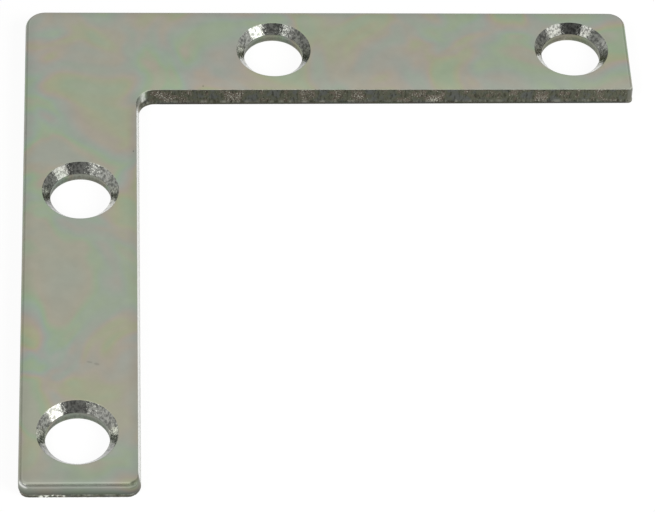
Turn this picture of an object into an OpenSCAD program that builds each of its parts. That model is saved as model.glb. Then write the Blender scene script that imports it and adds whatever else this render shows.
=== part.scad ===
// Flat corner brace: a flat steel L, stamped from plate, with four countersunk screw holes.
// The origin lies on the underside, where the centre lines of the two legs cross.
// One leg runs along +X and the other along +Y. The countersinks open upwards, along +Z.

/* [Plate] */
// Length of each leg, from the outside of the heel to the leg's end
leg_len = 88.9; // [72:0.1:200]
// Width of each leg at the top face
leg_w = 16; // [13.5:0.1:40]
// Thickness of the plate
plate_t = 2.7; // [2.2:0.1:6]

/* [Corners] */
// Radius of the heel, the outside corner where the legs meet
heel_r = 3.5; // [1.2:0.1:7.5]
// Radius of the crotch, the inside corner where the legs meet, at the top face
crotch_r = 2.3; // [0.8:0.1:12]
// Radius of the corner at each leg's end on the outside edge
toe_outer_r = 2.6; // [1.2:0.1:6]
// Radius of the corner at each leg's end on the inside edge
toe_inner_r = 1.4; // [1.2:0.1:6]

/* [Outside edge, sheared from below] */
// Radius of the roll-over along the top of the outside edge
outer_roll_r = 0.6; // [0.1:0.05:1]
// Height of the torn strip along the foot of the outside edge
outer_tear_h = 0.7; // [0.2:0.05:1.5]
// How far the torn strip falls back at the underside
outer_tear_lean = 0.12; // [0.02:0.01:0.4]

/* [Inside edge, sheared from above] */
// Radius of the roll-over along the foot of the inside edge
inner_roll_r = 0.3; // [0.1:0.05:0.8]
// Height of the smooth sheared land above that roll-over
inner_land_h = 0.45; // [0.1:0.05:1]
// How far the torn wall above the land falls back at the top face
inner_tear_lean = 0.3; // [0.02:0.01:0.6]

/* [Screw holes] */
// Diameter of the straight bore
bore_d = 8.6; // [3:0.1:10.2]
// Diameter of the countersink at the top face
sink_d = 10.6; // [9:0.1:11.6]
// Included angle of the countersink
sink_angle = 82; // [70:1:120]
// Width of the pressed lip round the countersink's mouth
lip_w = 0.15; // [0.05:0.05:0.6]
// Depth of the pressed lip at its inner side
lip_drop = 0.06; // [0.02:0.01:0.2]
// How much wider than the bore the hole breaks out at the underside, on the radius
exit_flare = 0.1; // [0.02:0.01:0.4]
// Height over which the hole breaks out
exit_h = 0.4; // [0.1:0.05:0.8]
// Distance from a leg's end to the centre of its end hole
end_margin = 8.7; // [7:0.1:14]
// Distance between the centres of the two holes in a leg
hole_pitch = 44.1; // [14:0.1:60]

/* [Hidden] */

// Curve fineness of the corners and holes, and of the small roll-overs
curve_fn = 96;
roll_fn = 48;
// Overrun of a cut past the faces that it opens
overrun = 1;
// Zinc-plated steel
zinc = [0.6, 0.62, 0.57];

// Width at the foot of a leg: the inside wall stands out there past the top face
foot_w = leg_w + inner_tear_lean;
// Radius of the crotch at that foot
foot_crotch_r = crotch_r - inner_tear_lean;
// Flat metal that an edge's strip keeps past the widest of its roll-overs and leans
rim_spare = 0.1;
// Width of the strip that carries an edge's section
rim_w = max(outer_roll_r, outer_tear_lean, inner_roll_r, inner_tear_lean) + rim_spare;
// Where the straight part of the inside edge begins, from the outside of the heel
crotch_end = foot_w + foot_crotch_r;
// Depth of the countersink, from its two diameters and its angle
sink_depth = (sink_d - bore_d) / 2 / tan(sink_angle / 2);
// Centres of a leg's two holes, from the outside of the heel
hole_places = [leg_len - end_margin - hole_pitch, leg_len - end_margin];

// One quarter of a disc, in the quadrant that u and z point into (1 or -1)
module quarter_disc(r, u, z)
    intersection() {
        circle(r, $fn = roll_fn);
        translate([u < 0 ? -r : 0, z < 0 ? -r : 0]) square(r);
    }

// Section of the outside edge: x goes into the metal and y is the height
module outer_section() {
    shoulder = plate_t - outer_roll_r;
    polygon([[outer_tear_lean, 0], [rim_w, 0], [rim_w, shoulder], [0, shoulder], [0, outer_tear_h]]);
    translate([outer_roll_r, shoulder]) square([rim_w - outer_roll_r, outer_roll_r]);
    translate([outer_roll_r, shoulder]) quarter_disc(outer_roll_r, -1, 1);
}

// Section of the inside edge: x goes into the metal and y is the height
module inner_section() {
    land_top = inner_roll_r + inner_land_h;
    translate([inner_roll_r, 0]) square([rim_w - inner_roll_r, inner_roll_r]);
    translate([inner_roll_r, inner_roll_r]) quarter_disc(inner_roll_r, -1, -1);
    polygon([[0, inner_roll_r], [rim_w, inner_roll_r], [rim_w, plate_t], [inner_tear_lean, plate_t], [0, land_top]]);
}

// A straight stretch of an edge: it starts at the origin, runs along +X, and its metal lies on the +Y side
module run(length)
    rotate([90, 0, 90]) linear_extrude(length) children();

// A corner of radius r about the origin, in the quadrant from angle start to start + 90:
// the section follows the arc, and the metal fills the rest as far as the centre
module convex_turn(r, start)
    rotate([0, 0, start]) rotate_extrude(angle = 90, $fn = curve_fn) {
        translate([r, 0]) mirror([1, 0]) children();
        square([r - rim_w, plate_t]);
    }

// The inside of a corner of radius r about the origin: the section follows the arc, with its metal outside it
module concave_turn(r, start)
    rotate([0, 0, start]) rotate_extrude(angle = 90, $fn = curve_fn) translate([r, 0]) children();

// One leg's share of the edge, for the leg along +X, from the outside of the heel
module leg_edge() {
    translate([heel_r, 0]) run(leg_len - heel_r - toe_outer_r) outer_section();
    translate([leg_len - toe_outer_r, toe_outer_r]) convex_turn(toe_outer_r, -90) outer_section();
    translate([leg_len, toe_outer_r]) rotate([0, 0, 90]) run(foot_w - toe_outer_r - toe_inner_r) outer_section();
    translate([leg_len - toe_inner_r, foot_w - toe_inner_r]) convex_turn(toe_inner_r, 0) inner_section();
    translate([crotch_end, foot_w]) mirror([0, 1, 0]) run(leg_len - crotch_end - toe_inner_r) inner_section();
}

// The flat metal of one leg inside its edge strips, beyond the crotch
module leg_web()
    linear_extrude(plate_t) difference() {
        translate([crotch_end, rim_w]) square([leg_len - crotch_end - rim_w, foot_w - 2 * rim_w]);
        translate([leg_len - toe_outer_r, 0]) square(toe_outer_r);
        translate([leg_len - toe_inner_r, foot_w - toe_inner_r]) square(toe_inner_r);
    }

// The flat metal where the legs meet, between the heel and the crotch
module heel_web()
    linear_extrude(plate_t) difference() {
        translate([rim_w, rim_w]) square(crotch_end - rim_w);
        square(heel_r);
        translate([crotch_end, crotch_end]) circle(foot_crotch_r + rim_w, $fn = curve_fn);
    }

// Both legs: the second mirrors the first about the diagonal through the heel
module both_legs() {
    children();
    mirror([1, -1, 0]) children();
}

// The plate, with its sheared edges and no holes
module plate() {
    both_legs() {
        leg_edge();
        leg_web();
    }
    heel_web();
    translate([heel_r, heel_r]) convex_turn(heel_r, 180) outer_section();
    translate([crotch_end, crotch_end]) concave_turn(foot_crotch_r, 180) inner_section();
}

// The space of one screw hole: breakout, bore, countersink and pressed lip
module screw_hole() {
    bore_r = bore_d / 2;
    sink_r = sink_d / 2;
    rotate_extrude($fn = curve_fn) polygon([
        [0, -overrun],
        [bore_r + exit_flare, -overrun],
        [bore_r + exit_flare, 0],
        [bore_r, exit_h],
        [bore_r, plate_t - lip_drop - sink_depth],
        [sink_r, plate_t - lip_drop],
        [sink_r + lip_w, plate_t],
        [sink_r + lip_w, plate_t + overrun],
        [0, plate_t + overrun]
    ]);
}

// The whole brace
module brace()
    color(zinc)
    translate([-leg_w / 2, -leg_w / 2])
    difference() {
        plate();
        both_legs() for (x = hole_places) translate([x, leg_w / 2]) screw_hole();
    }

brace();
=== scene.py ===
"""Dresses the flat corner brace: the stamped plate with its edges and countersinks, and the studio."""

import math

import bpy
import numpy as np
from mathutils import Matrix, Vector
from mathutils.geometry import delaunay_2d_cdt


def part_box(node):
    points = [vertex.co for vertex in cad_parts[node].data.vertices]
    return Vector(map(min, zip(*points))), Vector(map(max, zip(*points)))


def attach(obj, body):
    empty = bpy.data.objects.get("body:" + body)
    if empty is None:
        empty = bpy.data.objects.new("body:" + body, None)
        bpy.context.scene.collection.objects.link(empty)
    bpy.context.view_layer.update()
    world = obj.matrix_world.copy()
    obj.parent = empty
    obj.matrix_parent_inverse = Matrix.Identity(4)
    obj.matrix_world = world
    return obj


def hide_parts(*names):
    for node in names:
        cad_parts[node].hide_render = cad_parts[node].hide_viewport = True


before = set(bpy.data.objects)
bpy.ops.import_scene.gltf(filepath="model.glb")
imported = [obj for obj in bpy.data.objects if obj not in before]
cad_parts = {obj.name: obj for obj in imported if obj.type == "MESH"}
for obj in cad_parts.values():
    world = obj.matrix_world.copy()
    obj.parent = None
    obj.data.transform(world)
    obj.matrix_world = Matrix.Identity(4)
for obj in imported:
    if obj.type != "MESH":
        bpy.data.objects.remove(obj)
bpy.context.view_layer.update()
PLATE_LOW, PLATE_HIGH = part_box("brace")

bl_info = {
    "name": "Flat corner brace",
    "version": (1, 0, 0),
    "blender": (4, 5, 0),
    "location": "View3D > Sidebar > Brace",
    "description": "Makes a zinc plated flat corner brace and the studio it stands in",
    "category": "Object",
}

MM = 0.001
LEG_WIDTH = 16.0 * MM

# Which finish a face of the plate takes
FACE_FINISH = 0
SHEARED_FINISH = 1
BRIGHT_FINISH = 2


# ------------------------------------------------------------
# Settings
# ------------------------------------------------------------


def length_setting(name, default, description):
    """A length in metres that the panel shows in the scene's units."""
    return bpy.props.FloatProperty(
        name=name,
        description=description,
        default=default,
        min=0.0,
        precision=5,
        subtype="DISTANCE",
        unit="LENGTH",
    )


def colour_setting(name, default, description):
    """A colour without alpha."""
    return bpy.props.FloatVectorProperty(
        name=name,
        description=description,
        default=default,
        min=0.0,
        max=1.0,
        size=3,
        subtype="COLOR",
    )


def plain_setting(name, default, description, low=0.0):
    """A bare number."""
    return bpy.props.FloatProperty(name=name, description=description, default=default, min=low)


def angle_setting(name, degrees, description):
    """An angle, held in radians."""
    return bpy.props.FloatProperty(
        name=name, description=description, default=math.radians(degrees), subtype="ANGLE"
    )


class BracePlateSettings(bpy.types.PropertyGroup):
    """Sizes of the stamped plate."""

    leg_width: length_setting("Leg width", LEG_WIDTH, "Width of a leg across its top face")
    heel_radius: length_setting("Heel radius", 2.9 * MM, "Round of the outer corner")
    crotch_radius: length_setting("Crotch radius", 2.3 * MM, "Round of the inner corner at the foot")
    taper_x: length_setting("X leg taper", 0.2 * MM, "How much wider the X leg is at the crotch")
    taper_y: length_setting("Y leg taper", 0.14 * MM, "How much the Y leg gains on its width at the crotch")
    draw_y: length_setting("Y leg draw", 0.07 * MM, "How much the Y leg loses of its width at its end")
    foot_spread: length_setting("Foot spread", 0.18 * MM, "How much more the Y leg leans at the crotch")
    end_skew: length_setting("End skew", 0.09 * MM, "How far the Y leg's end draws back at its outer edge")
    toe_outer_x: length_setting("X leg outer toe", 1.45 * MM, "Round of the X leg's outer end corner")
    toe_outer_y: length_setting("Y leg outer toe", 2.45 * MM, "Round of the Y leg's outer end corner")
    toe_inner_x: length_setting("X leg inner toe", 1.8 * MM, "Round of the X leg's inner end corner")
    toe_inner_y: length_setting("Y leg inner toe", 0.62 * MM, "Round of the Y leg's inner end corner")
    roll: length_setting("Edge roll", 0.6 * MM, "Width that the shear rolls the outer top edge over")
    roll_drop: length_setting("Edge roll drop", 0.85 * MM, "How far the rolled edge falls")
    outer_tear: length_setting("Outer tear height", 0.7 * MM, "Height of the torn foot outside")
    outer_lean: length_setting("Outer tear lean", 0.12 * MM, "How far the outer torn foot draws in")
    inner_land: length_setting("Inner land height", 0.55 * MM, "Height of the smooth land inside")
    inner_lean: length_setting("Inner tear lean", 0.38 * MM, "How far the inner torn wall leans back")
    foot_roll: length_setting("Inner foot roll", 0.3 * MM, "Radius of the foot under the inner land")
    ledge: length_setting("Tear ledge", 0.07 * MM, "Step from the smooth land back to the torn wall")
    arris: length_setting("Inner arris", 0.08 * MM, "Width of the sharp top edge inside")
    bore: length_setting("Bore", 8.6 * MM, "Diameter of the straight part of a hole")
    sink: length_setting("Countersink", 10.8 * MM, "Diameter at the top of a countersink")
    sink_angle: angle_setting("Countersink angle", 82.0, "Angle between the sides of a countersink")
    sink_depth: length_setting("Countersink from", 0.06 * MM, "Depth at which its diameter is taken")
    rim_round: length_setting("Rim round", 0.03 * MM, "Depth of the rounded rim of a countersink")
    exit_flare: length_setting("Exit flare", 0.1 * MM, "How far the bore opens at the underside")
    exit_height: length_setting("Exit height", 0.4 * MM, "Height of the flared end of the bore")
    end_margin: length_setting("End margin", 8.7 * MM, "From a leg's end to its outer hole")
    hole_pitch: length_setting("Hole pitch", 44.1 * MM, "Between the two holes of a leg")
    tear_depth: length_setting("Tear depth", 0.11 * MM, "Depth of the torn wall's relief")
    streak_width: length_setting("Streak width", 0.45 * MM, "Width of one streak of the tear")
    streak_height: length_setting("Streak height", 0.9 * MM, "Height of one streak of the tear")
    wander: length_setting("Tear wander", 0.3 * MM, "How far the tear's lower line wanders")
    nick_depth: length_setting("Nick depth", 0.05 * MM, "Depth of the nicks in the sharp edge")


class BraceFinishSettings(bpy.types.PropertyGroup):
    """Colours of the zinc plating."""

    zinc: colour_setting("Zinc", (0.4, 0.416, 0.332), "The plated face")
    # Painted shade in the pits of the torn wall
    torn_pit_shade: colour_setting("Tear, deep", (0.035, 0.034, 0.024), "The pits of the torn wall")
    torn_mid: colour_setting("Tear", (0.12, 0.126, 0.089), "The torn wall")
    torn_warm: colour_setting("Tear, warm", (0.152, 0.13, 0.102), "Warmer parts of the torn wall")
    torn_cool: colour_setting("Tear, cool", (0.125, 0.132, 0.12), "Cooler parts of the torn wall")
    # Painted highlight on the raised specks and the ledge of the torn wall
    torn_highlight: colour_setting("Tear, raised", (0.56, 0.56, 0.48), "Raised specks on the torn wall")
    cut: colour_setting("Cut zinc", (0.68, 0.69, 0.645), "The cut countersinks")
    # Painted highlight: the burr's bright line and the glints of the chips at the foot
    burr: colour_setting("Burr", (0.85, 0.86, 0.78), "The bright line of the sharp edge")
    # Burnished walls and rolled edges, painted lighter as a highlight
    burnished_highlight_colour: colour_setting("Burnished", (0.75, 0.76, 0.72), "The walls that the punch burnished")
    film_strength: plain_setting("Film strength", 0.9, "How strongly the chromate film colours")
    border_width: length_setting("Border width", 2.2 * MM, "Width of the dimmer border outside")
    face_roughness: plain_setting("Face roughness", 0.34, "Gloss of the plated face")
    edge_roughness: plain_setting("Edge roughness", 0.58, "Gloss of the rolled and sheared edges")
    cone_roughness: plain_setting("Cone roughness", 0.08, "Gloss of the countersinks")


class BraceStageSettings(bpy.types.PropertyGroup):
    """The floor, the lamps and the camera."""

    floor: colour_setting("Floor", (0.93, 0.93, 0.92), "The pale floor")
    floor_white: plain_setting("Floor white", 0.9, "How far the floor is lifted to plain white")
    surround: plain_setting("Surround", 1.06, "Light of the white surround in the metal")
    fill: plain_setting("Fill", 0.15, "Light of the surround on everything")
    lamp_light: plain_setting("Lamp light", 9.0, "Brightness of the two soft lamps' faces")
    lamp_glow: plain_setting("Lamp glow", 2.0, "Brightness of a lamp's face where the metal mirrors it")
    aim: bpy.props.FloatVectorProperty(
        name="Aim",
        description="The point that the camera looks at",
        default=(0.03914, 0.034861, 0.00135),
        subtype="XYZ",
    )
    view_azimuth: angle_setting("View azimuth", -4.943, "Where the camera stands, from the X leg's way")
    view_elevation: angle_setting("View elevation", 48.6075, "How high the camera stands")
    view_roll: angle_setting("View roll", 3.6341, "How far the camera is turned about its own line")
    view_distance: length_setting("View distance", 0.549976, "From the camera to its aim")
    lens: plain_setting("Lens", 214.933, "Focal length in millimetres on a 36 mm sensor")


# ------------------------------------------------------------
# The plate's outline
# ------------------------------------------------------------


def ease(value, start, end):
    """0 before start, 1 after end, and smooth between."""
    share = min(1.0, max(0.0, (value - start) / (end - start)))
    return share * share * (3.0 - 2.0 * share)


class Station:
    """One cut through the plate's edge, at a place on its foot line."""

    def __init__(self, place, outward, along):
        self.place = place
        self.outward = outward
        self.along = along
        # 0 on the outer edge and 1 on the inner edge, whose section it is
        self.inner = 0.0
        # Looks of the inner edge here: torn, painted shade below and on its sharp top, the burr's painted
        # highlight, and burnished with a painted highlight
        self.torn = 0.0
        self.dull = 0.0
        self.blunt = 0.0
        self.burr = 0.0
        self.bright = 0.0
        # Painted glints of chips along the foot, a painted highlight or painted shade on the rolled edge,
        # and painted shade at the inner foot
        self.chip = 0.0
        self.shine = 0.0
        self.soil = 0.0
        self.foot_shade = 0.0
        # Share of the wall's extra lean, and how far the rolled edge loses its painted shade and painted
        # highlight bands
        self.spread = 0.0
        self.calm = 0.0


def outline_corners(s):
    """The six corners of the foot line, anticlockwise from the heel: kind, place and radius."""
    low_x, low_y = PLATE_LOW[0], PLATE_LOW[1]
    high_x, high_y = PLATE_HIGH[0], PLATE_HIGH[1]
    inner_x = low_x + s.leg_width + s.inner_lean
    inner_y = low_y + s.leg_width + s.inner_lean
    return [
        ("heel", Vector((low_x, low_y)), s.heel_radius),
        ("toe_outer", Vector((high_x, low_y)), s.toe_outer_x),
        ("toe_inner", Vector((high_x, inner_y)), s.toe_inner_x),
        ("crotch", Vector((inner_x + s.taper_y + s.foot_spread, inner_y + s.taper_x)), s.crotch_radius),
        ("toe_inner", Vector((inner_x - s.draw_y, high_y)), s.toe_inner_y),
        ("toe_outer", Vector((low_x, high_y - s.end_skew)), s.toe_outer_y),
    ]


def run_kind(first, second):
    """Which edge lies between two corners."""
    names = {first, second}
    if names == {"toe_outer", "toe_inner"}:
        return "end"
    if "crotch" in names:
        return "inner"
    return "outer"


RUN_STEP = {"outer": 0.5 * MM, "end": 0.14 * MM, "inner": 0.13 * MM}
TURN_STEPS = {"heel": 26, "toe_outer": 22, "toe_inner": 20, "crotch": 30}
# Which corner is the X leg's outer toe
X_OUTER_TOE = 1
# Where the looks change along a run, from its start, and how gradually
TEAR_END_GAP = 0.3 * MM
TEAR_FADE = 0.25 * MM
ROLL_END_GAP = 0.25 * MM
ROLL_FADE = 0.5 * MM
CALM_FADE = 2.0 * MM
CHIP_GLINT_START = 1.1 * MM
CHIP_GLINT_REACH = 5.0 * MM
CHIP_GLINT_FADE = 0.5 * MM
FOOT_SHADE_FADE = 1.0 * MM
# Where the looks change round a corner: start and end of each change, as shares of the turn
TOE_TURNS_INNER = (0.4, 0.9)
TOE_SHADE_RISES = (0.1, 0.3)
TOE_SHINE_RISES = (0.05, 0.35)
TOE_SHINE_ENDS = (0.75, 1.0)
CROTCH_TEAR_RISES = (0.55, 1.0)
CROTCH_LAND_FADES = (0.0, 0.12)
CROTCH_GLINT_RISES = (0.4, 0.48)
CROTCH_GLINT_SINKS = (0.6, 0.66)
CROTCH_GLINT_ENDS = (0.75, 0.95)
CROTCH_SHADE_RISES = (0.05, 0.15)
CROTCH_SHADE_ENDS = (0.42, 0.5)
CROTCH_FOOT_SHADE_RISES = (0.15, 0.4)
# How strong they are: the painted highlight of the land and of the glint, and the painted shade on the wall
# and at the foot
CROTCH_BRIGHT = 0.08
CROTCH_GLINT = 0.5
CROTCH_SHADE = 0.22
FOOT_SHADE = 0.85
# Looks of the inner wall: the punch burnished it along the X leg, where it carries a painted highlight, and
# tore it along the Y leg, where it carries painted shade and the burr's painted highlight; the toes carry
# painted shade
X_LEG = {"torn": 0.12, "dull": 0.0, "blunt": 0.0, "burr": 0.5, "bright": 1.0}
Y_LEG = {"torn": 1.0, "dull": 0.8, "blunt": 0.0, "burr": 1.0, "bright": 0.0}
X_TOE = {"torn": 0.0, "dull": 0.58, "blunt": 0.6, "burr": 0.0, "bright": 0.0}
Y_TOE = {"torn": 0.0, "dull": 0.55, "blunt": 0.0, "burr": 1.0, "bright": 0.0}


def set_looks(station, first, second=None, share=0.0):
    """Gives a station one set of looks, or looks between two sets."""
    for name in first:
        last = first[name] if second is None else second[name]
        setattr(station, name, first[name] * (1.0 - share) + last * share)


def corner_frame(corners, index):
    """Start point, end point, centre and turning sign of the round at a corner."""
    _, place, radius = corners[index]
    before = corners[index - 1][1]
    after = corners[(index + 1) % len(corners)][1]
    way_in = (place - before).normalized()
    way_out = (after - place).normalized()
    sign = 1.0 if way_in.cross(way_out) > 0.0 else -1.0
    start = place - way_in * radius
    end = place + way_out * radius
    centre = start + Vector((-way_in.y, way_in.x)) * radius * sign
    return start, end, centre, sign


def turn_stations(corners, index, along):
    """Stations round one corner, its two ends included."""
    name, _, radius = corners[index]
    start, _, centre, sign = corner_frame(corners, index)
    steps = TURN_STEPS[name]
    spoke = start - centre
    stations = []
    for step in range(steps + 1):
        share = step / steps
        angle = sign * share * math.pi / 2
        turned = Matrix.Rotation(angle, 2) @ spoke
        outward = turned.normalized() * sign
        station = Station(centre + turned, outward, along + share * radius * math.pi / 2)
        if name == "toe_inner":
            toe = X_TOE if corners[index - 1][0] == "toe_outer" else Y_TOE
            station.inner = ease(share, *TOE_TURNS_INNER) if toe is X_TOE else 1.0
            # Painted shade on the rolled edge round an inner toe
            station.soil = ease(share, *TOE_SHADE_RISES)
            set_looks(station, toe)
        # A painted highlight on the rolled edge round the X leg's outer toe
        if index == X_OUTER_TOE:
            station.shine = ease(share, *TOE_SHINE_RISES) * (1.0 - ease(share, *TOE_SHINE_ENDS))
        if name == "crotch":
            set_crotch_looks(station, share)
        stations.append(station)
    return stations


def set_crotch_looks(station, share):
    """Looks of the inner corner at a share of its turn, from the X leg's burnished wall to the Y leg's torn
    one.
    The land's painted highlight fades, painted shade follows, and a painted glint ends in the tear."""
    station.inner = 1.0
    set_looks(station, X_LEG, Y_LEG, ease(share, *CROTCH_TEAR_RISES))
    land = (1.0 - CROTCH_BRIGHT) * (1.0 - ease(share, *CROTCH_LAND_FADES))
    station.bright = CROTCH_BRIGHT + land + CROTCH_GLINT * ease(share, *CROTCH_GLINT_RISES)
    station.bright *= 1.0 - CROTCH_GLINT * ease(share, *CROTCH_GLINT_SINKS)
    station.bright *= 1.0 - ease(share, *CROTCH_GLINT_ENDS)
    shade = ease(share, *CROTCH_SHADE_RISES) * (1.0 - ease(share, *CROTCH_SHADE_ENDS))
    station.dull = max(station.dull, CROTCH_SHADE * shade)
    station.foot_shade = FOOT_SHADE * ease(share, *CROTCH_FOOT_SHADE_RISES)
    station.spread = abs(station.outward.x)


def run_stations(corners, index, along):
    """Stations on the straight run after a corner, without the ends that its corners hold."""
    following = (index + 1) % len(corners)
    start = corner_frame(corners, index)[1]
    end = corner_frame(corners, following)[0]
    kind = run_kind(corners[index][0], corners[following][0])
    reach = (end - start).length
    way = (end - start).normalized()
    outward = Vector((way.y, -way.x))
    steps = max(2, round(reach / RUN_STEP[kind]))
    stations = []
    for step in range(1, steps):
        gone = reach * step / steps
        station = Station(start + way * gone, outward, along + gone)
        if kind == "inner":
            from_toe = gone if corners[index][0] == "toe_inner" else reach - gone
            toe, leg = (X_TOE, X_LEG) if abs(way.x) > 0.5 else (Y_TOE, Y_LEG)
            station.inner = 1.0
            set_looks(station, toe, leg, ease(from_toe, TEAR_END_GAP - TEAR_FADE, TEAR_END_GAP + TEAR_FADE))
            if leg is Y_LEG:
                # Painted shade at the foot of the Y leg's inner wall, fading from the crotch
                station.foot_shade = FOOT_SHADE * (1.0 - ease(gone, 0.0, FOOT_SHADE_FADE))
                station.spread = 1.0 - gone / reach
        if kind == "outer" and way.x > 0.5:
            station.calm = ease(gone, 0.0, CALM_FADE) * (1.0 - ease(gone, reach - CALM_FADE, reach))
        if kind == "end":
            toe = Y_TOE if corners[index][0] == "toe_inner" else X_TOE
            if toe is Y_TOE:
                station.inner = 1.0 - ease(gone, ROLL_END_GAP - ROLL_FADE / 2, ROLL_END_GAP + ROLL_FADE / 2)
            else:
                # Painted glints of chips along the X leg's end
                station.chip = ease(gone, CHIP_GLINT_START, CHIP_GLINT_START + CHIP_GLINT_FADE)
                station.chip *= 1.0 - ease(gone, CHIP_GLINT_REACH - CHIP_GLINT_FADE, CHIP_GLINT_REACH)
            set_looks(station, toe)
        stations.append(station)
    return stations, reach


def outline_stations(s):
    """Every station round the plate in order."""
    corners = outline_corners(s)
    stations = []
    along = 0.0
    for index, (_, _, radius) in enumerate(corners):
        stations += turn_stations(corners, index, along)
        along += radius * math.pi / 2
        run, reach = run_stations(corners, index, along)
        stations += run
        along += reach
    return stations


# ------------------------------------------------------------
# The two sheared edge sections
# ------------------------------------------------------------

# Where the flat webs of the face and the underside start
WEB_INSET_OUTER = 0.66 * MM
WEB_INSET_INNER = 0.5 * MM
# The round at the outer foot, and how much of the outer lean is left low and high on the torn foot
FOOT_ROUND = 0.05 * MM
LEAN_LOW = 0.9
LEAN_HIGH = 0.05
# Small gaps between the stretches of a section
FOOT_GAP = 0.1 * MM
WALL_GAP = 0.08 * MM
ROLL_GAP = 0.05 * MM
WEB_GAP = 0.06 * MM
LAND_GAP = 0.02 * MM
ARRIS_GAP = 0.01 * MM
# Where an inner arris starts to turn, in degrees
ARRIS_START = 172.0
FOOT_POINTS = 5
LOW_POINTS = 5
WALL_POINTS = 9
TOP_POINTS = 8
# What a row of the sections can say of its edge, 0 where it says nothing. The outer and the inner
# edge each have a tear and a painted shade of their own. Low rows take the painted shade at a station's
# foot, and the last four say how far a row takes its station's painted arris shade, painted highlight,
# painted toe shade or calm looks.
TRAITS = ("outer_tear", "inner_tear", "outer_dull", "inner_dull", "burr", "bright", "polish")
TRAITS += ("ledge", "edge", "chip", "low", "blunt", "shine", "soil", "calm")
# How much of the tear's dark look the painted shade at the foot brings
FOOT_SHADE_TEAR = 0.6
# From the wall up to the face: how much painted shade the rolled edge carries, and how much painted
# highlight
ROLL_PAINTED_SHADE = (0.33, 0.4, 0.05, 0.0, 0.0, 0.1, 0.0, 0.0)
ROLL_HIGHLIGHT = (0.0, 0.15, 0.22, 0.2, 0.0, 0.0, 0.03, 0.14)
# How far a painted highlight or a painted shade on the rolled edge reaches down it
ROLL_SHINE = (0.1, 0.4, 0.8, 0.9, 0.6, 0.1, 0.0, 0.0)
ROLL_TOE_SHADE = (0.0, 0.1, 0.2, 0.35, 0.5, 0.6, 0.6, 0.3)
# How far its painted shade and painted highlight go on the calm middle of a long run
ROLL_CALM = (0.15, 0.15, 0.6, 0.6, 0.6, 0.6, 0.6, 0.6)
# Which of its points carries most of the burr's painted highlight on an inner edge, and over how many it
# fades
BURR_MIDDLE = 2.5
BURR_REACH = 3.5
# Painted shade of the smooth wall at its top, and how much it gains down to its foot
WALL_PAINTED_SHADE = 0.38
FOOT_PAINTED_SHADE = 0.36
# Shares of the wall's height between which the painted shade of the foot ends
FOOT_SHADE_CLIMB = (0.1, 0.35)


def arc(centre, radius, start, end, count):
    """Points on an arc in a section, with both ends."""
    points = []
    for step in range(count):
        angle = math.radians(start + (end - start) * step / (count - 1))
        points.append((centre[0] + radius * math.cos(angle), centre[1] + radius * math.sin(angle)))
    return points


def spread(start, end, count):
    """Points on a straight line, with both ends."""
    points = []
    for step in range(count):
        share = step / (count - 1)
        points.append((start[0] + (end[0] - start[0]) * share, start[1] + (end[1] - start[1]) * share))
    return points


def outer_section(s, thickness):
    """Section of the outer edge: torn foot, smooth wall and rolled top. Inset into the metal, height."""
    lean = s.outer_lean
    wall_top = thickness - s.roll_drop - ROLL_GAP
    points = [(WEB_INSET_OUTER, 0.0), (lean + 2 * FOOT_ROUND, 0.0)]
    points += arc((lean + FOOT_ROUND, FOOT_ROUND), FOOT_ROUND, -90.0, -180.0, FOOT_POINTS)
    points += spread((lean * LEAN_LOW, FOOT_ROUND + FOOT_GAP), (lean * LEAN_HIGH, s.outer_tear), LOW_POINTS)
    points += spread((0.0, s.outer_tear + WALL_GAP), (0.0, wall_top), WALL_POINTS)
    for inset, drop in arc((s.roll, 0.0), s.roll, 180.0, 90.0, TOP_POINTS):
        points.append((inset, thickness - s.roll_drop * (1.0 - drop / s.roll)))
    points += [(WEB_INSET_OUTER, thickness)]
    return points


def inner_section(s, thickness):
    """Section of the inner edge: foot roll, smooth land, torn wall leaning back and a sharp top."""
    ledge_height = s.inner_land + ROLL_GAP
    wall_foot = (s.ledge + LAND_GAP, ledge_height + FOOT_GAP)
    wall_top = (s.inner_lean - ARRIS_GAP, thickness - s.arris)
    points = [(WEB_INSET_INNER, 0.0), (s.foot_roll + WEB_GAP, 0.0)]
    points += arc((s.foot_roll, s.foot_roll), s.foot_roll, -90.0, -180.0, FOOT_POINTS)
    points += spread((0.0, s.foot_roll + WALL_GAP), (0.0, s.inner_land - LAND_GAP), LOW_POINTS - 1)
    points += [(s.ledge, ledge_height)]
    points += spread(wall_foot, wall_top, WALL_POINTS)
    points += arc((s.inner_lean + s.arris, thickness - s.arris), s.arris, ARRIS_START, 90.0, TOP_POINTS)
    points += [(WEB_INSET_INNER, thickness)]
    return points


class Row:
    """One point of the sections, and the strip above it: what the outer and the inner edge look
    like there."""

    def __init__(self, finish, **traits):
        self.finish = finish
        for name in TRAITS:
            setattr(self, name, traits.get(name, 0.0))

    def facts(self, station):
        """What a vertex at this row of that station knows of its edge."""
        inner = station.inner
        outer = 1.0 - inner
        foot_shaded = self.low * station.foot_shade
        plainer = 1.0 - self.calm * station.calm
        inner_tear = self.inner_tear * station.torn + FOOT_SHADE_TEAR * foot_shaded
        outer_dull = self.outer_dull * plainer + self.soil * station.soil
        # Painted shade on the inner edge, and on the sharp top of the X leg's inner toe
        inner_dull = self.inner_dull * station.dull + self.blunt * station.blunt
        return {
            "tear": self.outer_tear * outer + inner_tear * inner,
            "dull": outer_dull * outer + inner_dull * inner,
            "along": station.along,
            "burr": self.burr * inner * station.burr,
            "bright": self.bright * inner * station.bright * (1.0 - foot_shaded),
            "polish": (self.polish * plainer + self.shine * station.shine) * outer,
            "ledge": self.ledge,
            "edge": self.edge,
            "chip": self.chip * station.chip,
        }


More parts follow.
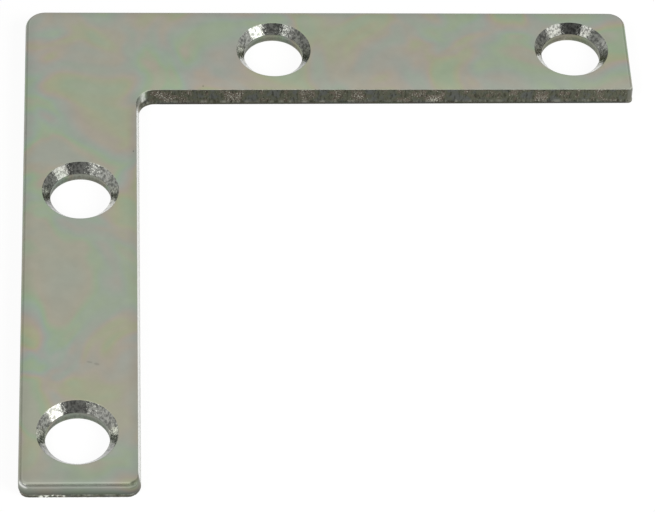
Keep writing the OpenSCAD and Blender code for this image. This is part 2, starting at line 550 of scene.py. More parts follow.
def section_rows():
    """The rows of the sections from the underside's web to the top's."""
    foot = Row(SHEARED_FINISH, outer_tear=0.5, outer_dull=0.2, inner_dull=1.12, bright=0.2, low=1.0)
    foot.edge = 1.0
    foot.chip = 1.0
    rows = [Row(FACE_FINISH)] * 2 + [foot] * FOOT_POINTS
    for step in range(LOW_POINTS):
        row = Row(SHEARED_FINISH, outer_tear=0.55, outer_dull=0.65, inner_dull=1.0, bright=1.0, low=1.0)
        row.edge = 1.0
        row.inner_tear = 0.35 if step == LOW_POINTS - 1 else 0.0
        row.ledge = 1.0 if step >= LOW_POINTS - 2 else 0.0
        row.chip = 1.0 if step < LOW_POINTS - 1 else 0.0
        rows.append(row)
    for step in range(WALL_POINTS):
        climb = step / (WALL_POINTS - 1)
        row = Row(SHEARED_FINISH, inner_dull=1.0, bright=1.0, edge=1.0)
        row.inner_tear = 1.0 if step < WALL_POINTS - 1 else 0.6
        row.outer_dull = WALL_PAINTED_SHADE + FOOT_PAINTED_SHADE * (1.0 - climb)
        row.ledge = 0.6 if step == 0 else 0.0
        row.low = 1.0 - ease(climb, *FOOT_SHADE_CLIMB)
        rows.append(row)
    for step in range(TOP_POINTS):
        climb = step / (TOP_POINTS - 1)
        row = Row(FACE_FINISH, outer_dull=ROLL_PAINTED_SHADE[step], polish=ROLL_HIGHLIGHT[step])
        row.shine = ROLL_SHINE[step]
        row.soil = ROLL_TOE_SHADE[step]
        row.calm = ROLL_CALM[step]
        row.blunt = 1.0 - climb
        row.burr = max(0.0, 1.0 - abs(step - BURR_MIDDLE) / BURR_REACH)
        row.edge = min(1.0, 1.5 * (1.0 - climb))
        rows.append(row)
    rows.append(Row(FACE_FINISH))
    return rows


# ------------------------------------------------------------
# Plain mesh of the plate, with its four holes still open
# ------------------------------------------------------------

HOLE_STEPS = 120
# How far a hole's seam is turned from the X leg's direction
HOLE_TURN = 2.0 * math.pi * 31 / HOLE_STEPS
# Painted shade on one side of a countersink: how much darker it is, and the cosines between which that
# begins
SINK_PAINTED_SHADE = 0.5
SINK_PAINTED_SHADE_FROM = (0.15, 0.45)
RIM_INSET = 0.3 * MM
# The web's mesher: it keeps the triangles inside, and how close points may come, in millimetres
INSIDE_ONLY = 1
CLOSEST = 1e-7
# What every vertex knows of its edge, besides the way out of the metal
FACTS = ("tear", "dull", "along", "burr", "bright", "polish", "ledge", "edge", "chip")
# How far the punch strayed at each hole, in millimetres, and how much wider the hole came out
HOLE_STRAY = ((-0.33, 0.16, 1.0), (-0.46, -0.12, 1.02), (-0.08, 0.28, 1.0), (-0.3, 0.17, 1.0))


def hole_places(s):
    """Centres of the four holes and how much wider each of them is."""
    outer = PLATE_HIGH[0] - s.end_margin
    inner = outer - s.hole_pitch
    places = []
    nominal = ((inner, 0.0), (outer, 0.0), (0.0, inner), (0.0, outer))
    for (x, y), (stray_x, stray_y, wider) in zip(nominal, HOLE_STRAY):
        places.append((Vector((x + stray_x * MM, y + stray_y * MM)), wider))
    return places


def circle(centre, radius):
    """Points of a hole's rim in the plan."""
    points = []
    for step in range(HOLE_STEPS):
        angle = 2.0 * math.pi * step / HOLE_STEPS
        points.append(Vector((centre.x + radius * math.cos(angle), centre.y + radius * math.sin(angle))))
    return points


def web_faces(ring, rims, holes, rim_radius):
    """Triangles of a flat web between the outline's ring and the rims, as numbers of its points:
    the ring's, then the rims'."""
    points = [point / MM for point in ring]
    edges = [(index, (index + 1) % len(ring)) for index in range(len(ring))]
    for rim in rims:
        first = len(points)
        points += [point / MM for point in rim]
        edges += [(first + step, first + (step + 1) % len(rim)) for step in range(len(rim))]
    fixed = len(points)
    result = delaunay_2d_cdt(points, edges, [], INSIDE_ONLY, CLOSEST)
    triangles = []
    for face in result[2]:
        corners = [result[3][index][0] for index in face]
        middle = sum((points[index] for index in corners), Vector((0.0, 0.0))) / 3.0
        if all((middle * MM - centre).length > rim_radius * wider for centre, wider in holes):
            triangles.append(corners)
    if len(result[0]) != fixed:
        raise RuntimeError("the web's points were merged")
    return triangles


def edge_points(s, stations, rows):
    """Points of the plate's rim, station by station from the underside up, what each of them knows
    of its edge, and its way out of the metal."""
    thickness = PLATE_HIGH[2]
    outer = outer_section(s, thickness)
    inner = inner_section(s, thickness)
    places = []
    facts = {name: [] for name in FACTS}
    outward = []
    for station in stations:
        k = station.inner
        for (u0, z0), (u1, z1), row in zip(outer, inner, rows):
            inset = u0 + (u1 - u0) * k
            height = z0 + (z1 - z0) * k
            inset += s.foot_spread * station.spread * height / thickness
            spot = station.place - station.outward * inset
            places.append((spot.x, spot.y, height))
            outward.append((station.outward.x, station.outward.y, 0.0))
            for name, value in row.facts(station).items():
                facts[name].append(value)
    return places, facts, outward


def strip_faces(columns, finishes):
    """Four-sided faces between neighbouring columns of points, all the way round, and their
    finishes. A column has one finish for each of its points, which is that of the face above."""
    faces = []
    kinds = []
    count = len(finishes)
    for index in range(columns):
        here = index * count
        there = (index + 1) % columns * count
        for level in range(count - 1):
            faces.append((here + level, there + level, there + level + 1, here + level + 1))
            kinds.append(finishes[level])
    return faces, kinds


def plain_mesh(name, places, faces, finishes, facts, outward):
    """A mesh that carries each face's finish, and what each vertex knows of its edge."""
    mesh = bpy.data.meshes.new(name)
    mesh.from_pydata(places, [], faces)
    store(mesh, "finish", "INT", "FACE", finishes)
    for fact, values in facts.items():
        store(mesh, fact, "FLOAT", "POINT", values)
    store(mesh, "outward", "FLOAT_VECTOR", "POINT", outward)
    mesh.update()
    return mesh


def plate_mesh(s):
    """The rim and the two webs of the plate, with open holes."""
    rows = section_rows()
    stations = outline_stations(s)
    places, facts, outward = edge_points(s, stations, rows)
    faces, finishes = strip_faces(len(stations), [row.finish for row in rows])
    holes = hole_places(s)
    profile = hole_profile(s)
    top = len(rows) - 1
    for level, radius, height in ((top, profile[0][0], PLATE_HIGH[2]), (0, profile[-1][0], 0.0)):
        numbers = [index * len(rows) + level for index in range(len(stations))]
        ring = [Vector(places[number][:2]) for number in numbers]
        rims = [circle(centre, radius * wider) for centre, wider in holes]
        for point in sum(rims, []):
            numbers.append(len(places))
            places.append((point.x, point.y, height))
            outward.append((0.0, 0.0, 0.0))
            for fact in facts.values():
                fact.append(0.0)
        for corners in web_faces(ring, rims, holes, radius):
            face = [numbers[index] for index in corners]
            a, b, c = (Vector(places[index][:2]) for index in face)
            if ((b - a).cross(c - a) > 0.0) != (level == top):
                face.reverse()
            faces.append(tuple(face))
            finishes.append(FACE_FINISH)
    return plain_mesh("brace_plate", places, faces, finishes, facts, outward)


def store(mesh, name, kind, domain, values):
    """Keeps one value for each point or face on the mesh."""
    attribute = mesh.attributes.new(name, kind, domain)
    field = "vector" if kind == "FLOAT_VECTOR" else "value"
    attribute.data.foreach_set(field, np.asarray(values).ravel())


# ------------------------------------------------------------
# One countersunk hole
# ------------------------------------------------------------

CONE_ROWS = 9


def hole_profile(s):
    """Radius, height, tear, painted shade and finish of a hole's wall, from the top rim down."""
    top = PLATE_HIGH[2]
    sink = s.sink / 2
    bore = s.bore / 2
    slope = math.tan(s.sink_angle / 2)
    cone_low = top - s.sink_depth - (sink - bore) / slope
    cone_top = top - s.rim_round
    wide = bore + (cone_top - cone_low) * slope
    rows = [
        (wide + RIM_INSET, top, 0.0, 0.0, FACE_FINISH),
        (wide + 0.07 * MM, top, 0.0, 0.0, FACE_FINISH),
        (wide + 0.04 * MM, top - 0.004 * MM, 0.0, 0.0, FACE_FINISH),
        (wide + 0.015 * MM, top - 0.013 * MM, 0.0, 0.0, BRIGHT_FINISH),
        (wide, cone_top, 0.0, 0.0, BRIGHT_FINISH),
    ]
    for step in range(1, CONE_ROWS):
        share = step / CONE_ROWS
        radius = wide + (bore - wide) * share
        rows.append((radius, cone_top + (cone_low - cone_top) * share, 0.0, 0.0, BRIGHT_FINISH))
    rows += [
        (bore + 0.03 * MM, cone_low + 0.035 * MM, 0.0, 0.0, BRIGHT_FINISH),
        (bore + 0.006 * MM, cone_low + 0.008 * MM, 0.0, 0.0, SHEARED_FINISH),
        (bore, cone_low - 0.03 * MM, 0.0, 0.45, SHEARED_FINISH),
        (bore, cone_low - 0.25 * MM, 0.1, 0.3, SHEARED_FINISH),
        (bore, cone_low - 0.5 * MM, 0.2, 0.4, SHEARED_FINISH),
        (bore, s.exit_height + 0.2 * MM, 0.25, 0.45, SHEARED_FINISH),
        (bore, s.exit_height, 0.3, 0.4, SHEARED_FINISH),
        (bore + s.exit_flare * 0.45, s.exit_height * 0.5, 0.3, 0.3, SHEARED_FINISH),
        (bore + s.exit_flare * 0.9, 0.03 * MM, 0.2, 0.3, SHEARED_FINISH),
        (bore + s.exit_flare + 0.03 * MM, 0.0, 0.0, 0.0, FACE_FINISH),
        (bore + s.exit_flare + RIM_INSET, 0.0, 0.0, 0.0, FACE_FINISH),
    ]
    return rows


def hole_mesh(s):
    """The wall of one hole about the origin, open at both rims."""
    rows = hole_profile(s)
    places = []
    facts = {name: [] for name in FACTS}
    outward = []
    for step in range(HOLE_STEPS):
        angle = 2.0 * math.pi * step / HOLE_STEPS
        shaded = SINK_PAINTED_SHADE * ease(math.cos(angle + HOLE_TURN), *SINK_PAINTED_SHADE_FROM)
        for radius, height, torn, dull, kind in rows:
            places.append((radius * math.cos(angle), radius * math.sin(angle), height))
            known = {"tear": torn, "dull": dull, "along": angle * s.bore / 2}
            if kind == BRIGHT_FINISH:
                known["dull"] = shaded
            for name in FACTS:
                facts[name].append(known.get(name, 0.0))
            outward.append((-math.cos(angle), -math.sin(angle), 0.0))
    faces, finishes = strip_faces(HOLE_STEPS, [row[4] for row in rows])
    return plain_mesh("hole_wall", places, faces, finishes, facts, outward)


# ------------------------------------------------------------
# Node trees
# ------------------------------------------------------------


def add_node(tree, kind, label, **settings):
    """A labelled node with its settings."""
    node = tree.nodes.new(kind)
    node.label = label
    node.name = label
    for name, value in settings.items():
        setattr(node, name, value)
    return node


def feed(tree, source, target):
    """Links an output to an input, or writes a plain value into it."""
    if isinstance(source, bpy.types.NodeSocket):
        tree.links.new(source, target)
    else:
        target.default_value = source


def maths(tree, operation, label, *values, clamp=False):
    """A Math node on values or sockets. Returns its output."""
    node = add_node(tree, "ShaderNodeMath", label, operation=operation, use_clamp=clamp)
    for value, socket in zip(values, node.inputs):
        feed(tree, value, socket)
    return node.outputs[0]


def vector_maths(tree, operation, label, *values):
    """A Vector Math node on values or sockets. Returns its first output."""
    node = add_node(tree, "ShaderNodeVectorMath", label, operation=operation)
    for value, socket in zip(values, node.inputs):
        feed(tree, value, socket)
    return node.outputs[0]


def scaled(tree, label, vector, scale):
    """A vector times a number."""
    node = add_node(tree, "ShaderNodeVectorMath", label, operation="SCALE")
    feed(tree, vector, node.inputs[0])
    feed(tree, scale, node.inputs["Scale"])
    return node.outputs[0]


def noise(tree, label, vector, scale, detail=2.0, roughness=0.5, distortion=0.0):
    """A noise texture's value about 0.5."""
    node = add_node(tree, "ShaderNodeTexNoise", label, noise_dimensions="3D")
    feed(tree, vector, node.inputs["Vector"])
    feed(tree, scale, node.inputs["Scale"])
    feed(tree, detail, node.inputs["Detail"])
    feed(tree, roughness, node.inputs["Roughness"])
    feed(tree, distortion, node.inputs["Distortion"])
    return node.outputs[0]


def map_range(tree, label, value, low, high, to_low, to_high, smooth=False):
    """A value taken from one range to another, held at its ends."""
    kind = "SMOOTHSTEP" if smooth else "LINEAR"
    node = add_node(tree, "ShaderNodeMapRange", label, interpolation_type=kind)
    for number, socket in zip((value, low, high, to_low, to_high), node.inputs):
        feed(tree, number, socket)
    return node.outputs[0]


def patchy(tree, label, where, scale, span, **texture):
    """A noise texture's value, taken from the first two numbers of the span to the last two."""
    return map_range(tree, label + " share", noise(tree, label, where, scale, **texture), *span)


def combine(tree, label, x, y, z):
    """A vector from three numbers."""
    node = add_node(tree, "ShaderNodeCombineXYZ", label)
    for value, socket in zip((x, y, z), node.inputs):
        feed(tree, value, socket)
    return node.outputs[0]


def named(tree, name, kind):
    """A value that the mesh carries under a name, in a geometry tree."""
    node = add_node(tree, "GeometryNodeInputNamedAttribute", "stored " + name, data_type=kind)
    node.inputs["Name"].default_value = name
    return node.outputs["Attribute"]


def stored(tree, name):
    """A value that the mesh carries under a name, in a material."""
    return add_node(tree, "ShaderNodeAttribute", "stored " + name, attribute_name=name).outputs["Fac"]


def new_geometry_tree(name, inputs):
    """A geometry tree with a mesh in and out and named inputs. Returns it with its two ends."""
    tree = bpy.data.node_groups.new(name, "GeometryNodeTree")
    tree.interface.new_socket("Mesh", in_out="INPUT", socket_type="NodeSocketGeometry")
    for label, kind in inputs:
        tree.interface.new_socket(label, in_out="INPUT", socket_type=kind)
    tree.interface.new_socket("Mesh", in_out="OUTPUT", socket_type="NodeSocketGeometry")
    return tree, add_node(tree, "NodeGroupInput", "sizes"), add_node(tree, "NodeGroupOutput", "made")


def geometry_step(tree, kind, label, geometry):
    """A node that takes a geometry, works on it and passes it on."""
    node = add_node(tree, kind, label)
    tree.links.new(geometry, node.inputs["Geometry"])
    return node


def use_tree(piece, tree, values):
    """Puts a geometry tree on a piece and sets its inputs by their identifiers."""
    modifier = piece.modifiers.new(tree.name, "NODES")
    modifier.node_group = tree
    for item in tree.interface.items_tree:
        if item.item_type == "SOCKET" and item.in_out == "INPUT" and item.name in values:
            modifier[item.identifier] = values[item.name]


def holes_tree(materials):
    """Sets the hole wall at each hole place, turned by a step of its own, welds it in, and gives
    each finish its material."""
    tree, sizes, made = new_geometry_tree(
        "countersunk_holes",
        [
            ("Hole wall", "NodeSocketObject"),
            ("Hole places", "NodeSocketObject"),
            ("Turn", "NodeSocketFloat"),
            ("Weld distance", "NodeSocketFloat"),
        ],
    )
    wall = add_node(tree, "GeometryNodeObjectInfo", "hole wall", transform_space="ORIGINAL")
    tree.links.new(sizes.outputs["Hole wall"], wall.inputs["Object"])
    spots = add_node(tree, "GeometryNodeObjectInfo", "hole places", transform_space="ORIGINAL")
    tree.links.new(sizes.outputs["Hole places"], spots.inputs["Object"])
    order = add_node(tree, "GeometryNodeInputIndex", "which hole")
    turn = maths(tree, "MULTIPLY", "turn of each hole", order.outputs[0], sizes.outputs["Turn"])
    placed = add_node(tree, "GeometryNodeInstanceOnPoints", "set in holes")
    tree.links.new(spots.outputs["Geometry"], placed.inputs["Points"])
    tree.links.new(wall.outputs["Geometry"], placed.inputs["Instance"])
    tree.links.new(combine(tree, "about the hole", 0.0, 0.0, turn), placed.inputs["Rotation"])
    wider = named(tree, "wider", "FLOAT")
    tree.links.new(combine(tree, "wider holes", wider, wider, 1.0), placed.inputs["Scale"])
    joined = add_node(tree, "GeometryNodeJoinGeometry", "plate and holes")
    tree.links.new(placed.outputs["Instances"], joined.inputs["Geometry"])
    tree.links.new(sizes.outputs["Mesh"], joined.inputs["Geometry"])
    real = geometry_step(tree, "GeometryNodeRealizeInstances", "real holes", joined.outputs[0])
    welded = geometry_step(tree, "GeometryNodeMergeByDistance", "weld the rims", real.outputs[0])
    tree.links.new(sizes.outputs["Weld distance"], welded.inputs["Distance"])
    last = geometry_step(tree, "GeometryNodeSetShadeSmooth", "smooth", welded.outputs[0])
    finish = named(tree, "finish", "INT")
    for number, material in enumerate(materials):
        label = "is finish %d" % number
        same = add_node(tree, "FunctionNodeCompare", label, data_type="INT", operation="EQUAL")
        tree.links.new(finish, same.inputs[2])
        same.inputs[3].default_value = number
        last = geometry_step(tree, "GeometryNodeSetMaterial", "finish %d" % number, last.outputs[0])
        tree.links.new(same.outputs[0], last.inputs["Selection"])
        last.inputs["Material"].default_value = material
    tree.links.new(last.outputs[0], made.inputs["Mesh"])
    return tree


# How many nicks and waves there are to a streak, how far a nick goes down for its depth, and
# where along the noise the nicks and the waves are read
NICKS_PER_STREAK = 1.7
WAVES_PER_STREAK = 0.22
NICK_FALL = 0.6
NICK_SEED = (0.0, 7.0)
WAVE_SEED = (3.0, 1.0)


def tear_tree():
    """Breaks up the torn walls with streaks, lets the tear's lower line wander, and nicks the
    sharp edge. Nothing moves outward."""
    tree, sizes, made = new_geometry_tree(
        "torn_edges",
        [
            ("Tear depth", "NodeSocketFloat"),
            ("Streak width", "NodeSocketFloat"),
            ("Streak height", "NodeSocketFloat"),
            ("Wander", "NodeSocketFloat"),
            ("Nick depth", "NodeSocketFloat"),
            ("Seed", "NodeSocketFloat"),
        ],
    )
    tear = named(tree, "tear", "FLOAT")
    along = named(tree, "along", "FLOAT")
    burr = named(tree, "burr", "FLOAT")
    ledge = named(tree, "ledge", "FLOAT")
    outward = named(tree, "outward", "FLOAT_VECTOR")
    place = add_node(tree, "GeometryNodeInputPosition", "place")
    parts = add_node(tree, "ShaderNodeSeparateXYZ", "height")
    tree.links.new(place.outputs[0], parts.inputs[0])
    across = maths(tree, "DIVIDE", "streaks along", along, sizes.outputs["Streak width"])
    climb = maths(tree, "DIVIDE", "streaks up", parts.outputs[2], sizes.outputs["Streak height"])
    grain = combine(tree, "streak grid", across, climb, sizes.outputs["Seed"])
    streaks = patchy(tree, "streaks", grain, 1.0, (0.32, 0.68, 0.0, 1.0), detail=3.0, roughness=0.62)
    deep = maths(tree, "MULTIPLY", "torn only", streaks, tear)
    deep = maths(tree, "MULTIPLY", "tear depth", deep, sizes.outputs["Tear depth"])
    nick_way = maths(tree, "MULTIPLY", "nicks along", across, NICKS_PER_STREAK)
    nick_grid = combine(tree, "nick grid", nick_way, *NICK_SEED)
    nicks = patchy(tree, "nicks", nick_grid, 1.0, (0.42, 0.72, 0.0, 1.0), detail=3.0, roughness=0.7)
    nicks = maths(tree, "MULTIPLY", "sharp edge only", nicks, burr)
    nicks = maths(tree, "MULTIPLY", "nick depth", nicks, sizes.outputs["Nick depth"])
    inward = maths(tree, "ADD", "taken away", deep, nicks)
    inward = maths(tree, "MULTIPLY", "into the metal", inward, -1.0)
    wave_way = maths(tree, "MULTIPLY", "waves along", across, WAVES_PER_STREAK)
    wave_grid = combine(tree, "wave grid", wave_way, *WAVE_SEED)
    waves = noise(tree, "waves", wave_grid, 1.0, detail=2.0)
    waves = maths(tree, "SUBTRACT", "waves about zero", waves, 0.5)
    waves = maths(tree, "MULTIPLY", "wander", waves, sizes.outputs["Wander"])
    waves = maths(tree, "MULTIPLY", "ledge only", waves, ledge)
    down = maths(tree, "MULTIPLY", "nicks go down", nicks, -NICK_FALL)
    lift = combine(tree, "up and down", 0.0, 0.0, maths(tree, "ADD", "heights", waves, down))
    shift = vector_maths(tree, "ADD", "shift", scaled(tree, "inward shift", outward, inward), lift)
    moved = geometry_step(tree, "GeometryNodeSetPosition", "torn", sizes.outputs["Mesh"])
    tree.links.new(shift, moved.inputs["Offset"])
    tree.links.new(moved.outputs[0], made.inputs["Mesh"])
    return tree


# ------------------------------------------------------------
# Finishes
# ------------------------------------------------------------

# Tints of the thin chromate film, in the order that they follow as it grows thicker
FILM_TINTS = [
    (0.30, (1.00, 1.00, 1.00)),
    (0.37, (0.85, 1.08, 0.88)),
    (0.42, (1.05, 1.02, 0.80)),
    (0.46, (1.12, 0.93, 0.98)),
    (0.50, (0.98, 0.96, 1.10)),
    (0.54, (0.86, 1.03, 1.08)),
    (0.58, (0.86, 1.09, 0.90)),
    (0.63, (1.08, 0.96, 0.96)),
    (0.70, (0.97, 0.98, 1.05)),
]


def new_material(name):
    """A node material. Returns it with its tree, its shader and its object coordinates."""
    material = bpy.data.materials.new(name)
    material.use_nodes = True
    tree = material.node_tree
    shader = tree.nodes["Principled BSDF"]
    shader.inputs["Metallic"].default_value = 1.0
    where = add_node(tree, "ShaderNodeTexCoord", "place on the brace")
    return material, tree, shader, where.outputs["Object"]


def mix_colours(tree, label, blend, share, first, second):
    """A Mix node for colours. Returns its colour."""
    node = add_node(tree, "ShaderNodeMix", label, data_type="RGBA", blend_type=blend)
    feed(tree, share, node.inputs[0])
    feed(tree, first, node.inputs[6])
    feed(tree, second, node.inputs[7])
    return node.outputs[2]


def ramp(tree, label, value, stops):
    """A colour ramp with these stops."""
    node = add_node(tree, "ShaderNodeValToRGB", label)
    band = node.color_ramp
    while len(band.elements) < len(stops):
        band.elements.new(0.5)
    for element, (position, colour) in zip(band.elements, stops):
        element.position = position
        element.color = (*colour, 1.0)
    feed(tree, value, node.inputs[0])
    return node.outputs[0]


def toned(tree, label, base, tone):
    """A colour times another, or times a number."""
    return mix_colours(tree, label, "MULTIPLY", 1.0, base, tone)


def painted(tree, label, share, base, colour):
    """A colour covered by a plain one as far as the share says."""
    return mix_colours(tree, label, "MIX", share, base, (*colour, 1.0))


def dulled(tree, base):
    """The colour darkened by the painted shade that the mesh carries."""
    return toned(tree, "dull zinc", base, maths(tree, "SUBTRACT", "dulled", 1.0, stored(tree, "dull")))


def bump(tree, label, height, distance):
    """A bump of that many metres. Returns the normal."""
    node = add_node(tree, "ShaderNodeBump", label)
    node.inputs["Distance"].default_value = distance
    feed(tree, height, node.inputs["Height"])
    return node.outputs[0]


def film_colour(tree, where, finish):
    """Zinc under its faint, patchy chromate film."""
    film = noise(tree, "film thickness", where, 72.0, detail=2.5, roughness=0.5, distortion=0.6)
    tint = ramp(tree, "film tints", film, FILM_TINTS)
    share = patchy(tree, "film patches", where, 60.0, (0.3, 0.7, 0.35, 1.0), detail=1.0)
    share = maths(tree, "MULTIPLY", "film share", share, finish.film_strength)
    return mix_colours(tree, "filmed zinc", "MULTIPLY", share, (*finish.zinc, 1.0), tint)


# Where the inner edges of the legs run
INNER_EDGE = PLATE_LOW[0] + LEG_WIDTH
# Painted shade of the face along the outer edges
BORDER_TONE = 0.89
# Painted tone of a leg beside its inner edge, a painted highlight on the Y leg and painted shade on the X
# leg: the way across and along the leg, how far it reaches, tone
INNER_BORDERS = ((0, 1, 3.6 * MM, 1.09), (1, 0, 1.4 * MM, 0.91))
# How far past the crotch those tones are full
CROTCH_GAP = 3.0 * MM
# Painted shade and then a painted highlight on the roll at the X leg's end: label, how far from the end each
# starts and is full, and the tone
END_TONES = (("dimmer end", 6.0 * MM, 2.0 * MM, 0.93), ("lighter end roll", 1.3 * MM, 0.6 * MM, 1.12))
MARK_COLOUR = (0.05, 0.05, 0.045)
# How far the roughness strays, how much glossier the rolled edge and the walls are where they carry a
# painted highlight, and how deep the grains are
FACE_SCATTER = 0.04
CONE_SCATTER = 0.06
ROLL_GLOSS = 0.35
WALL_GLOSS = 0.26
PIT_ROUGHNESS = 0.1
FACE_GRAIN = 0.0025 * MM
TORN_GRAIN = 0.05 * MM
PIT_DEPTH = 0.0065 * MM
# Shares of the streaks and of the blotches in the torn wall
STREAKS = 0.62
BLOTCHES = 0.38
# Tone of the torn wall at the crotch and at the leg's end
TEAR_TONES = (0.94, 1.16)
# Small dark marks on the face, in millimetres and degrees: place, length, width, turn and strength
FACE_MARKS = (
    (59.52, 1.5, 0.9, 0.36, 82.0, 0.2),
    (59.86, 2.46, 0.85, 0.5, 74.0, 0.2),
    (7.4, 17.9, 0.3, 0.22, 0.0, 0.62),
    (20.3, 7.7, 0.3, 0.22, 0.0, 0.62),
)


def marked(tree, where, base, place, length, width, turn, strength):
    """The colour with one small dark mark on it."""
    spot = add_node(tree, "ShaderNodeMapping", "place of a mark", vector_type="TEXTURE")
    tree.links.new(where, spot.inputs["Vector"])
    spot.inputs["Location"].default_value = place
    spot.inputs["Rotation"].default_value = (0.0, 0.0, turn)
    spot.inputs["Scale"].default_value = (length / 2, width / 2, 1.0)
    away = add_node(tree, "ShaderNodeVectorMath", "from the mark", operation="LENGTH")
    tree.links.new(spot.outputs[0], away.inputs[0])
    depth = map_range(tree, "mark depth", away.outputs["Value"], 0.5, 1.2, strength, 0.0, smooth=True)
    return painted(tree, "marked zinc", depth, base, MARK_COLOUR)


def toned_by_place(tree, base, where, finish):
    """The face's colour with painted shade along the outer edges, painted highlight and shade beside the
    inner edges, and painted shade and highlight at the X leg's end.
    """
    parts = add_node(tree, "ShaderNodeSeparateXYZ", "from the outer edges")
    tree.links.new(where, parts.inputs[0])
    ways = parts.outputs
    nearer = maths(tree, "MINIMUM", "nearer outer edge", ways[0], ways[1])
    within = PLATE_LOW[0] + finish.border_width
    border = map_range(tree, "border", nearer, PLATE_LOW[0], within, BORDER_TONE, 1.0, smooth=True)
    base = toned(tree, "dimmer border", base, border)
    for across, along, reach, tone in INNER_BORDERS:
        start = INNER_EDGE - reach
        full = INNER_EDGE - reach / 5
        past_crotch = INNER_EDGE + CROTCH_GAP
        beside = map_range(tree, "beside the inner edge", ways[across], start, full, 0.0, 1.0)
        past = map_range(tree, "past the crotch", ways[along], INNER_EDGE, past_crotch, 0.0, 1.0)
        share = maths(tree, "MULTIPLY", "inner border", beside, past)
        border = map_range(tree, "inner border tone", share, 0.0, 1.0, 1.0, tone)
        base = toned(tree, "inner border zinc", base, border)
    for label, start, full, tone in END_TONES:
        end = PLATE_HIGH[0]
        share = map_range(tree, label + " share", ways[0], end - start, end - full, 1.0, tone)
        base = toned(tree, label, base, share)
    return base


def burr_highlighted(tree, base, finish):
    """The face's colour with the burr's painted highlight, a broken bright line."""
    along = maths(tree, "MULTIPLY", "along the edge", stored(tree, "along"), 900.0)
    line = combine(tree, "edge line", along, 0.0, 0.0)
    glints = patchy(tree, "glints", line, 1.0, (0.36, 0.64, 0.45, 1.0), detail=4.0, roughness=0.75)
    share = maths(tree, "MULTIPLY", "burr share", stored(tree, "burr"), glints)
    return painted(tree, "burred zinc", share, base, finish.burr)


def face_material(finish):
    """The satin plated face."""
    material, tree, shader, where = new_material("zinc_face")
    base = film_colour(tree, where, finish)
    cloud = patchy(tree, "cloud", where, 420.0, (0.3, 0.7, 0.965, 1.035), detail=3.0, roughness=0.6)
    base = toned(tree, "clouded zinc", base, cloud)
    base = toned_by_place(tree, base, where, finish)
    for x, y, length, width, turn, strength in FACE_MARKS:
        place = Vector((x, y, 0.0)) * MM
        base = marked(tree, where, base, place, length * MM, width * MM, math.radians(turn), strength)
    base = burr_highlighted(tree, base, finish)
    # Painted highlight on the rolled edge, which is also glossier there
    roll_highlight_share = stored(tree, "polish")
    base = painted(tree, "rolled zinc", roll_highlight_share, base, finish.burnished_highlight_colour)
    # Painted shade that the mesh carries, on the rolled edges and the inner toes
    tree.links.new(dulled(tree, base), shader.inputs["Base Color"])
    low = finish.face_roughness - FACE_SCATTER
    high = finish.face_roughness + FACE_SCATTER
    rough = patchy(tree, "roughness", where, 700.0, (0.3, 0.7, low, high), detail=2.0)
    gain = finish.edge_roughness - finish.face_roughness
    edge = maths(tree, "MULTIPLY", "edge roughness", stored(tree, "edge"), gain)
    rough = maths(tree, "ADD", "rougher at the edge", rough, edge)
    shine = maths(tree, "MULTIPLY", "roll shine", roll_highlight_share, ROLL_GLOSS)
    rough = maths(tree, "SUBTRACT", "smoother if rolled", rough, shine)
    tree.links.new(rough, shader.inputs["Roughness"])
    grain = noise(tree, "grain", where, 5200.0, detail=2.0)
    tree.links.new(bump(tree, "fine grain", grain, FACE_GRAIN), shader.inputs["Normal"])
    return material


def torn_colour(tree, along, up, sheet, finish):
    """Colour of the torn wall, with painted shade in its pits and painted highlights on its raised specks.
    Returns it with how broken the wall is and with its raised specks.
    """
    climb = maths(tree, "MULTIPLY", "squeezed height", up, 0.3)
    streak_sheet = combine(tree, "streak sheet", along, climb, 0.0)
    streaky = noise(tree, "torn streaks", streak_sheet, 3300.0, detail=3.0, roughness=0.6)
    blotch = noise(tree, "torn blotches", sheet, 1500.0, detail=4.0, roughness=0.65)
    streaky = maths(tree, "MULTIPLY", "share of streaks", streaky, STREAKS)
    blotch = maths(tree, "MULTIPLY", "share of blotches", blotch, BLOTCHES)
    broken = maths(tree, "ADD", "broken wall", streaky, blotch)
    hue = noise(tree, "torn hue", sheet, 420.0, detail=2.0, roughness=0.6)
    warm = map_range(tree, "warm share", hue, 0.5, 0.6, 0.0, 1.0)
    cool = map_range(tree, "cool share", hue, 0.47, 0.38, 0.0, 1.0)
    torn = painted(tree, "warmer tear", warm, (*finish.torn_mid, 1.0), finish.torn_warm)
    torn = painted(tree, "cooler tear", cool, torn, finish.torn_cool)
    deep = map_range(tree, "deep share", broken, 0.5, 0.4, 0.0, 0.7)
    torn = painted(tree, "deep tear", deep, torn, finish.torn_pit_shade)
    clusters = noise(tree, "speck clusters", sheet, 420.0, detail=1.0)
    lift = maths(tree, "MULTIPLY", "cluster lift", clusters, 0.7)
    specks = noise(tree, "specks", sheet, 5200.0, detail=2.0, roughness=0.6)
    specks = maths(tree, "ADD", "clustered specks", specks, lift)
    specks = map_range(tree, "speck share", specks, 0.98, 1.1, 0.0, 1.0)
    torn = painted(tree, "raised specks", specks, torn, finish.torn_highlight)
    return torn, broken, specks


